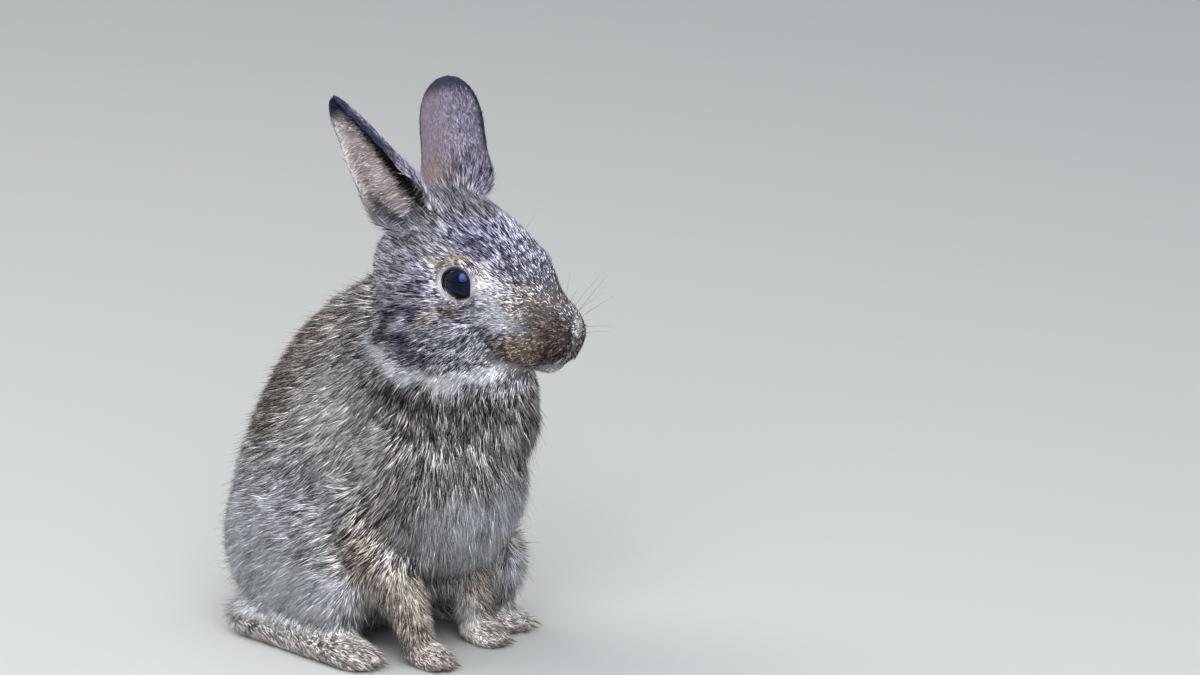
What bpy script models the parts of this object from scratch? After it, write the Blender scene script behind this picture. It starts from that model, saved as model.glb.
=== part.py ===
"""Young cottontail rabbit sitting up on its haunches, head turned a little to its left.

A still, life-size model, measured to the tips of the coat. +X is the way the body faces,
+Y is the animal's left and +Z is up; it stands on the floor at z = 0.

The animal is shaped like a clay figure: overlapping forms are fused into one body, and thin
cuts then part that body into head, neck, trunk, tail, legs and feet. Ears, eyes and claws are
pieces of their own, set into or onto it.

All sizes are in millimetres and MM brings them to metres. A part's place is in the body's
frame, except on the head, which has a frame of its own.
"""

import math
from collections import namedtuple

import bmesh
import bpy
import numpy as np
from mathutils import Euler, Matrix, Vector

MM = 0.001

# Driving dimensions.
SKULL_AT = (36.0, 6.0, 97.0)  # the point midway between the eyes, in the body's frame
HEAD_TURN = 17.0  # degrees towards the animal's left
HEAD_DIP = 9.0  # degrees, nose down
CENTRE_SHIFT = (-7.8, -0.4)  # brings the middle of the whole animal's footprint to x = y = 0

CUT = 0.3  # width of the thin cut between two neighbours
FUSE_VOXEL = 1.0
REGION_VOXEL = 1.6
SOFTEN_STEPS = 5
BODY_TRIANGLES = 2640
LOFT_STEPS = 4  # rings between two stations of a loft
RING = 28  # points round a ring

EYE_RADIUS = 5.2
EYE_OUT = 9.9  # from the head's middle plane to the middle of the eyeball
EYE_OPENING = 3.7  # radius of the opening between the lids
EYE_LOOK = (0.22, 1.0, 0.08)  # the left eye's axis: forward, sideways, up

EAR_HALF_WIDTH = 9.9  # measured round the curve, from the middle line to the edge
EAR_THICKNESS = 1.5

TOE_COUNT = 4
CLAW_LENGTH = 4.4
CLAW_RADIUS = 0.6
CLAW_DROOP = 12.0  # degrees below level

SIDES = {"right": -1, "left": 1}
WRISTS = {"right": (31.5, -13.6), "left": (24.5, 12.2)}
KNEES = {"right": (9.0, -21.5), "left": (16.0, 24.5)}

# Colours of the coat, the eye and the horn, linear RGB.
COAT_GREY = (0.19, 0.18, 0.19, 1.0)
COAT_BUFF = (0.27, 0.22, 0.18, 1.0)
COAT_WHITE = (0.55, 0.54, 0.54, 1.0)
EAR_GREY = (0.16, 0.14, 0.16, 1.0)
EYE_BLACK = (0.010, 0.008, 0.008, 1.0)
CLAW_HORN = (0.10, 0.07, 0.055, 1.0)

BODY_FRAME = Matrix.Scale(MM, 4) @ Matrix.Translation((*CENTRE_SHIFT, 0))
HEAD_FRAME = (
    BODY_FRAME
    @ Matrix.Translation(SKULL_AT)
    @ Euler((0, math.radians(HEAD_DIP), math.radians(HEAD_TURN)), "XYZ").to_matrix().to_4x4()
)

# A part of the body: the forms that shape it, the forms that bound the region cut out of the
# body for it, how far that region reaches past them, and about how many triangles bound it.
Part = namedtuple("Part", "forms bounds reach triangles finish")


# --- Meshes and modifiers -----------------------------------------------------------------------


def clear_scene():
    for obj in list(bpy.data.objects):
        bpy.data.objects.remove(obj, do_unlink=True)


def new_collection(name, shown):
    collection = bpy.data.collections.new(name)
    collection.hide_render = not shown
    bpy.context.scene.collection.children.link(collection)
    return collection


def material(name, colour, roughness):
    made = bpy.data.materials.new(name)
    made.use_nodes = True
    shader = made.node_tree.nodes["Principled BSDF"]
    shader.inputs["Base Color"].default_value = colour
    shader.inputs["Roughness"].default_value = roughness
    shader.inputs["Metallic"].default_value = 0.0
    made.diffuse_color = colour
    return made


def add_helper(name, mesh):
    """An object that shapes the model and isn't part of it."""
    obj = bpy.data.objects.new(name, mesh)
    helpers.objects.link(obj)
    obj.hide_render = True
    obj.display_type = "WIRE"
    return obj


def add_piece(name, mesh, finish):
    """One piece of the model."""
    obj = bpy.data.objects.new(name, mesh)
    rabbit.objects.link(obj)
    mesh.materials.clear()
    mesh.materials.append(finish)
    return obj


def as_helper(frame):
    """Takes the primitive that was just made out of the scene and lays it in a frame."""
    obj = bpy.context.object
    obj.data.transform(frame)
    for collection in list(obj.users_collection):
        collection.objects.unlink(obj)
    helpers.objects.link(obj)
    obj.hide_render = True
    obj.display_type = "WIRE"
    return obj


def worked_out(obj):
    """Gives the object the mesh that its modifiers make, and removes them."""
    bpy.context.view_layer.update()
    graph = bpy.context.evaluated_depsgraph_get()
    obj.data = bpy.data.meshes.new_from_object(obj.evaluated_get(graph))
    obj.modifiers.clear()
    return obj


def keep_largest(obj):
    """Welds the object's mesh, splits it into triangles and keeps its largest connected piece."""
    work = bmesh.new()
    work.from_mesh(obj.data)
    bmesh.ops.remove_doubles(work, verts=work.verts, dist=0.004 * MM)
    bmesh.ops.dissolve_degenerate(work, edges=work.edges, dist=0.004 * MM)
    bmesh.ops.triangulate(work, faces=work.faces)
    left, pieces = set(work.verts), []
    while left:
        piece, edge = set(), [left.pop()]
        while edge:
            vert = edge.pop()
            piece.add(vert)
            for link in vert.link_edges:
                other = link.other_vert(vert)
                if other in left:
                    left.remove(other)
                    edge.append(other)
        pieces.append(piece)
    pieces.sort(key=len, reverse=True)
    loose = [vert for piece in pieces[1:] for vert in piece]
    bmesh.ops.delete(work, geom=loose, context="VERTS")
    work.to_mesh(obj.data)
    work.free()
    return obj


def cut(obj, other, operation="DIFFERENCE"):
    step = obj.modifiers.new(operation.title(), "BOOLEAN")
    step.operation = operation
    step.solver = "EXACT"
    step.object = other
    return keep_largest(worked_out(obj))


def swell(obj, distance):
    """Pushes the object's surface outwards."""
    push = obj.modifiers.new("Swell", "DISPLACE")
    push.strength = distance * MM
    push.mid_level = 0.0
    return worked_out(obj)


def clearance(obj):
    """A copy of the object, larger by the width of the thin cut."""
    return swell(add_helper(f"{obj.name}_clearance", obj.data.copy()), CUT)


def simplified(obj, triangles):
    """Brings the object's mesh down to about that many triangles."""
    obj.modifiers.new("Triangles", "TRIANGULATE")
    worked_out(obj)
    thin = obj.modifiers.new("Thin", "DECIMATE")
    thin.ratio = min(1.0, triangles / len(obj.data.polygons))
    return worked_out(obj)


def fuse(name, forms, voxel, soften):
    """One closed body round all the forms, with soft fillets where they meet."""
    work = bmesh.new()
    for form in forms:
        work.from_mesh(form.data)
    mesh = bpy.data.meshes.new(name)
    work.to_mesh(mesh)
    work.free()
    obj = add_helper(name, mesh)
    remesh = obj.modifiers.new("Fuse", "REMESH")
    remesh.mode = "VOXEL"
    remesh.voxel_size = voxel * MM
    smooth = obj.modifiers.new("Soften", "SMOOTH")
    smooth.factor = 0.5
    smooth.iterations = soften
    return worked_out(obj)


# --- Forms: an egg, and a loft through rings ----------------------------------------------------


def egg(centre, radii, turn=(0, 0, 0), frame=BODY_FRAME):
    """An ellipsoid. Turn is in degrees about X, Y and Z."""
    bpy.ops.mesh.primitive_uv_sphere_add(segments=28, ring_count=18, radius=1.0)
    spin = Euler([math.radians(angle) for angle in turn], "XYZ").to_matrix().to_4x4()
    return as_helper(frame @ Matrix.Translation(centre) @ spin @ Matrix.Diagonal((*radii, 1)))


def smooth_rows(rows, steps):
    """Rows on a Catmull-Rom curve through the given rows, with `steps` rows to each stretch."""
    rows = np.asarray(rows, float)
    ends = np.vstack([2 * rows[0] - rows[1], rows, 2 * rows[-1] - rows[-2]])
    made = []
    for a, b, c, d in zip(ends[:-3], ends[1:-2], ends[2:-1], ends[3:]):
        for t in np.arange(steps) / steps:
            square = (2 * a - 5 * b + 4 * c - d) * t**2
            cube = (3 * b - a - 3 * c + d) * t**3
            made.append(0.5 * (2 * b + (c - a) * t + square + cube))
    return np.vstack([made, rows[-1]])


def unit(vectors):
    return vectors / np.linalg.norm(vectors, axis=-1, keepdims=True)


def loft(stations, up_hint=(0, 0, 1), frame=BODY_FRAME):
    """A closed body through egg-shaped rings. A station is the ring's centre (x, y, z), its half
    width, its reach on the up side and on the down side, and the share by which the up side
    narrows. Each ring stands square to the centre line, its up side towards up_hint."""
    rows = smooth_rows(stations, LOFT_STEPS)
    centre, narrowing = rows[:, :3], rows[:, 6]
    half_width, up_reach, down_reach = np.maximum(rows[:, 3:6], 0.1).T
    along = unit(np.gradient(centre, axis=0))
    hint = np.asarray(up_hint, float)
    up = unit(hint - (along @ hint)[:, None] * along)
    side = np.cross(up, along)
    angle = np.linspace(0, 2 * math.pi, RING, endpoint=False)
    rise = np.sin(angle)
    width = half_width[:, None] * np.cos(angle) * (1 - narrowing[:, None] * np.clip(rise, 0, 1))
    height = np.where(rise > 0, up_reach[:, None], down_reach[:, None]) * rise
    points = centre[:, None] + side[:, None] * width[..., None] + up[:, None] * height[..., None]

    work = bmesh.new()
    rings = [[work.verts.new(point) for point in ring] for ring in points]
    for first, second in zip(rings, rings[1:]):
        for i in range(RING):
            j = (i + 1) % RING
            work.faces.new((first[i], first[j], second[j], second[i]))
    work.faces.new(rings[0])
    work.faces.new(rings[-1])
    bmesh.ops.recalc_face_normals(work, faces=work.faces)
    mesh = bpy.data.meshes.new("loft")
    work.to_mesh(mesh)
    work.free()
    mesh.transform(frame)
    return add_helper("loft", mesh)


def limb(points, up_hint=(1, 0, 0)):
    """A round loft: each point is x, y, z and the limb's radius there."""
    return loft([(x, y, z, r, r, r, 0.0) for x, y, z, r in points], up_hint)


def toe_places(middle, heading, spacing):
    """Where each toe's middle lies, side by side, with the middle toes furthest forward."""
    turn = Matrix.Rotation(math.radians(heading), 4, "Z")
    places = []
    for i in range(TOE_COUNT):
        across = (i - (TOE_COUNT - 1) / 2) * spacing
        back = 0.22 * across**2 / spacing
        places.append(Vector(middle) + turn @ Vector((-back, across, 0)))
    return places


# --- The body's parts ---------------------------------------------------------------------------


def head():
    """Skull, muzzle and cheeks. +X of the head's frame runs to the nose. A station is x, y, height
    of the widest line, half width, reach up, reach down, narrowing."""
    skull = (
        (28.0, 0, -9.0, 1.0, 1.4, 1.4, 0.0),
        (27.1, 0, -9.0, 4.2, 5.0, 5.0, 0.1),
        (24.8, 0, -9.4, 6.8, 8.2, 7.0, 0.2),
        (19.5, 0, -10.2, 9.2, 12.9, 8.8, 0.3),
        (13.0, 0, -9.6, 11.2, 17.2, 11.4, 0.3),
        (6.0, 0, -7.2, 13.0, 18.9, 13.8, 0.25),
        (-1.0, 0, -5.2, 14.4, 21.4, 15.4, 0.25),
        (-9.0, 0, -4.4, 15.8, 23.2, 17.2, 0.25),
        (-16.0, 0, -4.4, 15.4, 20.4, 17.2, 0.2),
        (-22.5, 0, -5.0, 12.4, 12.6, 13.6, 0.1),
        (-27.5, 0, -6.0, 6.0, 6.0, 6.5, 0.0),
        (-29.0, 0, -6.0, 1.0, 1.0, 1.0, 0.0),
    )
    forms = [
        loft(skull, frame=HEAD_FRAME),
        egg((25.8, 0, -7.6), (2.6, 3.2, 3.4), frame=HEAD_FRAME),  # nose
        egg((19.0, 0, -16.4), (6.0, 5.2, 4.4), (0, 12, 0), HEAD_FRAME),  # chin
    ]
    for side in SIDES.values():
        forms += [
            egg((20.8, side * 4.4, -10.6), (6.4, 5.2, 6.2), frame=HEAD_FRAME),  # whisker pad
            egg((0.5, side * 9.6, 0.6), (8.0, 5.4, 6.8), (0, 0, side * -8), HEAD_FRAME),  # brow
            egg((-6.0, side * 9.2, -13.5), (13.0, 9.2, 11.5), frame=HEAD_FRAME),  # cheek
        ]
    return Part(forms, forms, 1.0, 300, grey_coat)


def neck():
    """Short neck in a thick ruff that fills the throat, cut off by a tilted egg that crosses the
    body square."""
    forms = [
        limb(((25, 2, 92, 14), (25, 1.5, 82, 18.5), (24, 1, 73, 21), (22, 0.5, 64, 22.5))),
        egg((32.5, 5, 62), (16.5, 16.5, 22), (0, 12, 0)),  # throat
    ]
    return Part(forms, [egg((20, 1, 80), (36, 32, 17), (0, 16, 0))], 0.0, 180, grey_coat)


def trunk():
    """Rump, arched back, ribs and the deep furred breast. The spine's stations run from the rump
    up to the nape; up is towards the back. The trunk is what the other parts leave."""
    spine = (
        (-33, 0, 14, 9, 9, 9, 0.0),
        (-28, 0, 19, 19, 16, 16, 0.0),
        (-19, 0, 27, 25, 22, 20, 0.05),
        (-11, 0, 37, 26.5, 26, 24, 0.1),
        (-4, 0, 48, 26, 28, 26, 0.15),
        (4, 0, 59, 25, 28, 26, 0.15),
        (11, 0.5, 68, 23, 26, 24, 0.15),
        (17, 1, 77, 20.5, 23, 20, 0.1),
        (21, 1, 85, 16.5, 19, 16, 0.1),
    )
    forms = [
        loft(spine, up_hint=(-0.6, 0, 0.8)),
        egg((24, 0, 47), (24, 22, 28)),  # breast
        egg((-4, 0, 22), (28, 24, 20)),  # belly
    ]
    return Part(forms, None, 0.0, 0, grey_coat)


def tail():
    """Short, upturned scut."""
    forms = [egg((-37.5, 0, 13.5), (9, 8, 10), (0, -20, 0))]
    return Part(forms, forms, 0.8, 90, white_coat)


def foreleg(name):
    """Upper foreleg, from inside the shoulder to the wrist."""
    side = SIDES[name]
    x, y = WRISTS[name]
    leg = (
        (14, side * 17, 44, 8.5),
        (17, side * 17, 33, 7.4),
        (x - 7, y + side * 2.2, 22, 7.2),
        (x - 1, y + side * 0.6, 11, 5.0),
        (x + 0.5, y, 4, 4.0),
    )
    forms = [limb(leg)]
    return Part(forms, forms, 1.4, 130, buff_coat)


def fore_toes(name):
    """The middle of the toes, their turn about Z in degrees and their spacing."""
    x, y = WRISTS[name]
    return (x + 8.2, y, 2.0), SIDES[name] * 4, 2.2


def forepaw(name):
    """Small forepaw flat on the floor."""
    x, y = WRISTS[name]
    forms = [egg((x + 3.6, y, 3.2), (6.8, 4.3, 4.0))]
    for place in toe_places(*fore_toes(name)):
        forms.append(egg(place, (3.4, 1.5, 2.1), (0, 0, SIDES[name] * 4)))
    return Part(forms, [egg((x + 5, y, 1), (12, 6.4, 6.6))], 0.0, 90, buff_coat)


def hindleg(name):
    """Haunch and knee, folded beside the belly."""
    side = SIDES[name]
    forms = [
        egg((-7, side * 17.5, 24), (24, 12.5, 21), (0, 18, side * 4)),
        egg((*KNEES[name], 17), (12, 8.5, 13), (0, 20, 0)),
    ]
    return Part(forms, [egg((0, side * 22, 21), (31, 15, 24.5))], 0.0, 150, grey_coat)


def hind_toes(name):
    """The middle of the toes, their turn about Z in degrees and their spacing."""
    return (25.5, SIDES[name] * 26.6, 2.4), SIDES[name] * 6, 2.9


def hindfoot(name):
    """Long hind foot, flat on the floor from heel to toes."""
    side = SIDES[name]
    foot = (
        (-24, side * 21.5, 4.5, 3.5, 4.0, 4.0, 0.0),
        (-20, side * 22, 5.0, 5.6, 6.0, 5.6, 0.0),
        (-8, side * 23, 4.6, 6.0, 6.2, 5.4, 0.0),
        (6, side * 24.5, 4.2, 6.2, 5.6, 5.0, 0.0),
        (18, side * 26, 3.6, 6.4, 4.6, 4.4, 0.0),
        (24, side * 26.5, 3.2, 5.4, 3.4, 3.8, 0.0),
        (27, side * 26.8, 2.8, 3.0, 2.2, 2.8, 0.0),
    )
    forms = [loft(foot)]
    for place in toe_places(*hind_toes(name)):
        forms.append(egg(place, (4.4, 1.9, 2.6), (0, 0, side * 6)))
    return Part(forms, [egg((2, side * 24, 1.0), (34, 10.5, 9.0))], 0.0, 120, buff_coat)


# --- Eyes, ears and claws -----------------------------------------------------------------------


def eye_frame(side):
    """The eyeball's frame: +Z looks out of the head."""
    look = Vector((EYE_LOOK[0], side * EYE_LOOK[1], EYE_LOOK[2])).normalized()
    turn = look.to_track_quat("Z", "Y").to_matrix().to_4x4()
    return HEAD_FRAME @ Matrix.Translation((0, side * EYE_OUT, 0)) @ turn


def ball(radius, frame):
    bpy.ops.mesh.primitive_uv_sphere_add(segments=16, ring_count=8, radius=radius)
    return as_helper(frame)


def lid_opening(frame):
    """A cylinder along the eye's axis, which opens the lids over the eyeball."""
    depth = EYE_RADIUS * 3
    bpy.ops.mesh.primitive_cylinder_add(vertices=16, radius=EYE_OPENING, depth=depth)
    return as_helper(frame @ Matrix.Translation((0, 0, depth / 2)))


def ear_half_width(u):
    """Half width round the curve, from the narrow root at u = 0, which is inside the head, past
    the widest stretch to the round tip at u = 1."""
    tip = np.sqrt(np.clip(1 - (np.clip(u - 0.55, 0, 1) / 0.455) ** 2, 0, 1))
    flare = 1 + 0.3 * np.exp(-(((u - 0.27) / 0.2) ** 2))
    root = 1 - 0.6 * np.clip(1 - u / 0.22, 0, 1) ** 1.5
    return EAR_HALF_WIDTH * tip * flare * root


def ear_shell(side, base, tip, facing, half_turn):
    """A shell curled round its length. Base and tip are in the head's frame, facing is the way its
    hollow opens, and half_turn is the angle from its middle line to its edge; both are given at the
    base and at the tip. A point at u along and v across lies on an arc of that half width, laid
    across the ear."""
    base = np.asarray(base, float)
    along = np.asarray(tip, float) - base
    length = np.linalg.norm(along)
    along /= length
    count_u, count_v = 11, 8
    u = np.linspace(0.0, 0.995, count_u)[:, None]
    v = np.linspace(-1, 1, count_v)[None, :]
    out = np.asarray(facing[0], float) * (1 - u) + np.asarray(facing[1], float) * u
    out = unit(out - (out @ along)[:, None] * along)
    across = np.cross(along, out) * side
    swing = np.radians(half_turn[0] + (half_turn[1] - half_turn[0]) * u**0.7)
    radius = ear_half_width(u) / swing
    arch = 2.2 * np.sin(math.pi * u) * (1 - 0.3 * u)
    hollow = radius * (1 - np.cos(v * swing)) - arch
    spread = radius * np.sin(v * swing)
    points = (
        base
        + along * (u * length + 0 * v)[..., None]
        + out[:, None] * hollow[..., None]
        + across[:, None] * spread[..., None]
    )
    work = bmesh.new()
    grid = [[work.verts.new(point) for point in row] for row in points]
    for i in range(count_u - 1):
        for j in range(count_v - 1):
            work.faces.new((grid[i][j], grid[i][j + 1], grid[i + 1][j + 1], grid[i + 1][j]))
    bmesh.ops.recalc_face_normals(work, faces=work.faces)
    mesh = bpy.data.meshes.new("ear_shell")
    work.to_mesh(mesh)
    work.free()
    mesh.transform(HEAD_FRAME)
    obj = add_helper("ear_shell", mesh)
    shell = obj.modifiers.new("Shell", "SOLIDIFY")
    shell.thickness = EAR_THICKNESS * MM
    shell.offset = 0.0
    return worked_out(obj)


def claw(place, heading, toe_reach):
    """A slim cone that leaves a toe a little above the floor."""
    lean = Euler((0, math.radians(90 + CLAW_DROOP), math.radians(heading)), "XYZ").to_matrix()
    forward = lean @ Vector((0, 0, 1))
    middle = place + forward * (toe_reach - 0.1 * CLAW_LENGTH) + Vector((0, 0, 0.4))
    bpy.ops.mesh.primitive_cone_add(
        vertices=8, radius1=CLAW_RADIUS, radius2=CLAW_RADIUS * 0.25, depth=CLAW_LENGTH
    )
    return as_helper(BODY_FRAME @ Matrix.Translation(middle) @ lean.to_4x4())


# --- Making -------------------------------------------------------------------------------------

clear_scene()
rabbit = new_collection("Rabbit", shown=True)
helpers = new_collection("Helpers", shown=False)

grey_coat = material("grey_coat", COAT_GREY, 0.85)
buff_coat = material("buff_coat", COAT_BUFF, 0.85)
white_coat = material("white_coat", COAT_WHITE, 0.85)
ear_coat = material("ear_coat", EAR_GREY, 0.8)
eye_gloss = material("eye_gloss", EYE_BLACK, 0.05)
claw_horn = material("claw_horn", CLAW_HORN, 0.4)

# The parts in the order in which they are cut out of the body; the trunk is what they leave.
parts = {"head": head(), "tail": tail()}
for name in SIDES:
    parts[f"forepaw_{name}"] = forepaw(name)
    parts[f"foreleg_{name}"] = foreleg(name)
    parts[f"hindfoot_{name}"] = hindfoot(name)
    parts[f"hindleg_{name}"] = hindleg(name)
parts["neck"] = neck()
parts["trunk"] = trunk()

every_form = [form for part in parts.values() for form in part.forms]
whole = simplified(fuse("whole", every_form, FUSE_VOXEL, SOFTEN_STEPS), BODY_TRIANGLES)
bpy.ops.mesh.primitive_cube_add(size=1.0, location=(0, 0, 0))
cut(whole, as_helper(Matrix.Translation((0, 0, -0.5))))

taken = []
for name, part in parts.items():
    piece = add_piece(name, whole.data.copy(), part.finish)
    if part.bounds:
        region = fuse(f"{name}_region", part.bounds, REGION_VOXEL, 2)
        simplified(swell(region, part.reach), part.triangles)
        cut(piece, region, "INTERSECT")
    for other in taken:
        cut(piece, other)
    if part.bounds:
        taken.append(clearance(region))

for name, side in SIDES.items():
    place = eye_frame(side)
    cut(rabbit.objects["head"], ball(EYE_RADIUS + CUT, place))
    cut(rabbit.objects["head"], lid_opening(place))
    add_piece(f"eye_{name}", ball(EYE_RADIUS, place).data.copy(), eye_gloss)

head_clearance = clearance(rabbit.objects["head"])
EARS = {
    # side: base, tip, the way the hollow faces and the half turn, each at the base and at the tip
    "right": (
        (-12.0, -7.4, 9.0),
        (-42.5, -11.5, 36.5),
        ((-0.1, -1.0, 0.15), (-0.65, -0.78, 0.1)),
        (110, 78),
    ),
    "left": (
        (-11.0, 4.6, 9.4),
        (-32.6, 28.0, 37.0),
        ((-0.46, 0.88, -0.2), (-0.46, 0.88, -0.2)),
        (118, 45),
    ),
}
for name, shape in EARS.items():
    shell = ear_shell(SIDES[name], *shape)
    cut(add_piece(f"ear_{name}", shell.data.copy(), ear_coat), head_clearance)

for name, side in SIDES.items():
    for foot, toes, reach in (("forepaw", fore_toes(name), 3.4), ("hindfoot", hind_toes(name), 4.4)):
        foot_clearance = clearance(rabbit.objects[f"{foot}_{name}"])
        for i, place in enumerate(toe_places(*toes)):
            piece = claw(place, toes[1], reach)
            piece = add_piece(f"claw_{foot}_{name}_{i + 1}", piece.data.copy(), claw_horn)
            cut(piece, foot_clearance)

bpy.context.view_layer.update()
for obj in rabbit.objects:
    obj.data.shade_smooth()
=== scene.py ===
"""Young cottontail rabbit sitting up: its skin, coat, eyes, whiskers and claws, over the solids.

+X is the way the body faces, +Y is its left and +Z is up. Sizes are in millimetres where a
comment says so, and MM brings them to metres.
"""

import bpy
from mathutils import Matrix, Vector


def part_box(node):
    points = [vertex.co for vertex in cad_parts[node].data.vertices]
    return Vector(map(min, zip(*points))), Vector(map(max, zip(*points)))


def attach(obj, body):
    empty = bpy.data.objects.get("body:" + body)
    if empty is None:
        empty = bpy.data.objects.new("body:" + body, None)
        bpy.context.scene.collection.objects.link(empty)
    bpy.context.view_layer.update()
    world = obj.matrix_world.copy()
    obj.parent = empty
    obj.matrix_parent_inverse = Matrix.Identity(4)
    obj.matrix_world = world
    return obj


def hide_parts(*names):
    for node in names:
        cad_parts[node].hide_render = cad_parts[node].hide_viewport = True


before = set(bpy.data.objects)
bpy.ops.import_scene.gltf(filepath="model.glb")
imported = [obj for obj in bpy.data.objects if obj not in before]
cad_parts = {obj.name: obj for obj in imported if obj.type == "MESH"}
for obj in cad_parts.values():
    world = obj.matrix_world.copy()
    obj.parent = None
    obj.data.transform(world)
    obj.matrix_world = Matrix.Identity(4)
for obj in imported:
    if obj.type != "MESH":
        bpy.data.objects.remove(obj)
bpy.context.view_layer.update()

import math

import bmesh
import bpy
import numpy as np
from mathutils import Euler, Vector
from mathutils.bvhtree import BVHTree
from mathutils.kdtree import KDTree

# --- Skin -----------------------------------------------------------------------------------------
# One hide goes over the whole animal, from the nose to the scut. It is drawn round all the parts
# of the flesh at once and lies inside them by the depth of the coat, so no seam shows anywhere.

MM = 0.001
FLESH = ["head", "neck", "trunk", "tail"] + [
    f"{part}_{side}"
    for part in ("hindleg", "hindfoot", "foreleg", "forepaw")
    for side in ("left", "right")
]
BRIDGE = 0.25 * MM  # closes the thin cuts between the parts
HIDE_VOXEL = 0.85 * MM

# Depth of the coat over the skin and the length of its hair, in mm, and the way the hair lies:
# forward, outward and up. The head's hair has a lie of its own.
COAT = {
    "head": (1, 3, (-1, 0, 0)),
    "neck": (1.8, 4.4, (-0.5, 0.05, -0.9)),
    "trunk": (2, 4.2, (-0.75, 0, -0.75)),
    "tail": (2.6, 6, (-0.9, 0, 0.3)),
    "hindleg": (1.9, 4.6, (-0.9, 0, -0.62)),
    "hindfoot": (0.8, 2.6, (1, 0, -0.15)),
    "foreleg": (1.3, 3.6, (0.1, 0, -1)),
    "forepaw": (0.7, 2.2, (1, 0, -0.3)),
}
GROIN = np.array((0, 25, 36))  # where the haunch meets the flank, and its half sizes, mm
GROIN_REACH = np.array((15, 10, 15))
MID_EYES = np.array((28.2, 5.6, 97.0)) * MM
HEAD_AXES = np.array(Euler((0, math.radians(9.0), math.radians(17.0)), "XYZ").to_matrix())


def unit(vectors):
    return vectors / np.maximum(np.linalg.norm(vectors, axis=-1, keepdims=True), 1e-12)


def ramp(values, start, end):
    """0 before start, 1 after end, and 3t^2 - 2t^3 between them."""
    t = np.clip((values - start) / (end - start), 0, 1)
    return t * t * (3 - 2 * t)


def blended(values, share, wanted):
    """The values, moved that share of the way to the wanted ones."""
    return values + share[:, None] * (np.asarray(wanted) - values)


def one_sided(places):
    """The same places, with those on the right mirrored to the left."""
    return np.where((False, True, False), np.abs(places), places)


def in_head(points):
    """Points in the head's frame, in mm: +X to the nose, +Y to its left, +Z to the crown."""
    return (points - MID_EYES) @ HEAD_AXES / MM


def from_head(points):
    return MID_EYES + MM * np.asarray(points, float) @ HEAD_AXES.T


def placed(name, data):
    """A new object in the scene."""
    obj = bpy.data.objects.new(name, data)
    bpy.context.scene.collection.objects.link(obj)
    return obj


def read_mesh(mesh):
    """The mesh's points and its triangles, as arrays."""
    mesh.calc_loop_triangles()
    points = np.empty(len(mesh.vertices) * 3)
    mesh.vertices.foreach_get("co", points)
    triangles = np.empty(len(mesh.loop_triangles) * 3, np.int32)
    mesh.loop_triangles.foreach_get("vertices", triangles)
    return points.reshape(-1, 3), triangles.reshape(-1, 3)


def made_mesh(name, points, triangles):
    """A smooth-shaded mesh of those points and triangles."""
    mesh = bpy.data.meshes.new(name)
    mesh.vertices.add(len(points))
    mesh.vertices.foreach_set("co", np.ascontiguousarray(points, np.float32).ravel())
    mesh.loops.add(triangles.size)
    mesh.loops.foreach_set("vertex_index", np.ascontiguousarray(triangles, np.int32).ravel())
    mesh.polygons.add(len(triangles))
    mesh.polygons.foreach_set("loop_start", np.arange(0, triangles.size, 3, dtype=np.int32))
    mesh.update(calc_edges=True)
    mesh.shade_smooth()
    return mesh


def read_work(work):
    """The points and triangles of a bmesh, which is freed."""
    mesh = bpy.data.meshes.new("work")
    work.to_mesh(mesh)
    work.free()
    return read_mesh(mesh)


def welded(name):
    """Points, triangles and normals of one solid, with its loose triangles joined."""
    work = bmesh.new()
    work.from_mesh(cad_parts[name].data)
    bmesh.ops.remove_doubles(work, verts=work.verts, dist=0.002 * MM)
    points, triangles = read_work(work)
    return points, triangles, normals_of(points, triangles)


def normals_of(points, triangles):
    """A point's normal is the sum of the cross products of the triangles round it."""
    a, b, c = points[triangles].transpose(1, 0, 2)
    cross = np.repeat(np.cross(b - a, c - a), 3, axis=0)
    corner = triangles.ravel()
    count = len(points)
    return unit(np.stack([np.bincount(corner, cross[:, k], count) for k in range(3)], 1))


def evened(field, triangles, steps):
    """Each step gives a point half its own value and half the mean of its neighbours'."""
    here = triangles[:, [0, 1, 1, 2, 2, 0]].ravel()
    there = triangles[:, [1, 0, 2, 1, 0, 2]].ravel()
    count = np.maximum(np.bincount(here, minlength=len(field)), 1)
    columns = np.array(field, float).reshape(len(field), -1)
    for _ in range(steps):
        for k in range(columns.shape[1]):
            around = np.bincount(here, columns[there, k], len(field)) / count
            columns[:, k] = 0.5 * (columns[:, k] + around)
    return columns.reshape(np.shape(field))


def remeshed(points, triangles, voxel, softening):
    """One closed surface round all those solids."""
    obj = placed("draft", made_mesh("draft", points, triangles))
    wrap = obj.modifiers.new("Wrap", "REMESH")
    wrap.mode = "VOXEL"
    wrap.voxel_size = voxel
    soften = obj.modifiers.new("Soften", "SMOOTH")
    soften.factor = 0.5
    soften.iterations = softening
    bpy.context.view_layer.update()
    mesh = bpy.data.meshes.new_from_object(obj.evaluated_get(bpy.context.evaluated_depsgraph_get()))
    bpy.data.objects.remove(obj, do_unlink=True)
    return read_mesh(mesh)


def refined(points, triangles, chosen):
    """Splits in four every triangle whose three points are chosen."""
    work = bmesh.new()
    work.from_mesh(made_mesh("coarse", points, triangles))
    work.verts.ensure_lookup_table()
    edges = [edge for edge in work.edges if chosen[edge.verts[0].index] and chosen[edge.verts[1].index]]
    bmesh.ops.subdivide_edges(work, edges=edges, cuts=1, use_grid_fill=True)
    bmesh.ops.triangulate(work, faces=work.faces)
    return read_work(work)


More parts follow.
